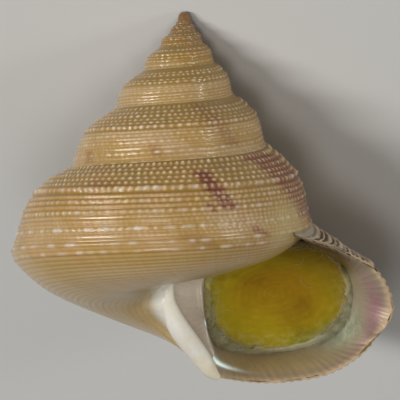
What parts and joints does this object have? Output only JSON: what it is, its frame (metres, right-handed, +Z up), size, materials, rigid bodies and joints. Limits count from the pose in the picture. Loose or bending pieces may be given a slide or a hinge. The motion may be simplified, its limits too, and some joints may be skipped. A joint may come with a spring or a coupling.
{
  "type": "top shell with operculum",
  "caption": "Spiral sea snail shell on its back, mouth up, with a thin horny lid set in packing fibre in the mouth.",
  "frame": {"origin": "centre of the footprint, on the surface the shell lies on", "axes": "+Z up, +X across the shell, the apex towards -Y and the mouth facing up and towards -X"},
  "size_m": [0.0252, 0.0238, 0.0177],
  "materials": {
    "shell": "beaded tan shell, satin outside, pearly in the mouth",
    "operculum": "thin translucent amber horn",
    "cotton": "loose white fibre"
  },
  "bodies": {
    "root": {"shell": "shell", "operculum": "operculum", "cotton_wad": "cotton"}
  },
  "joints": []
}
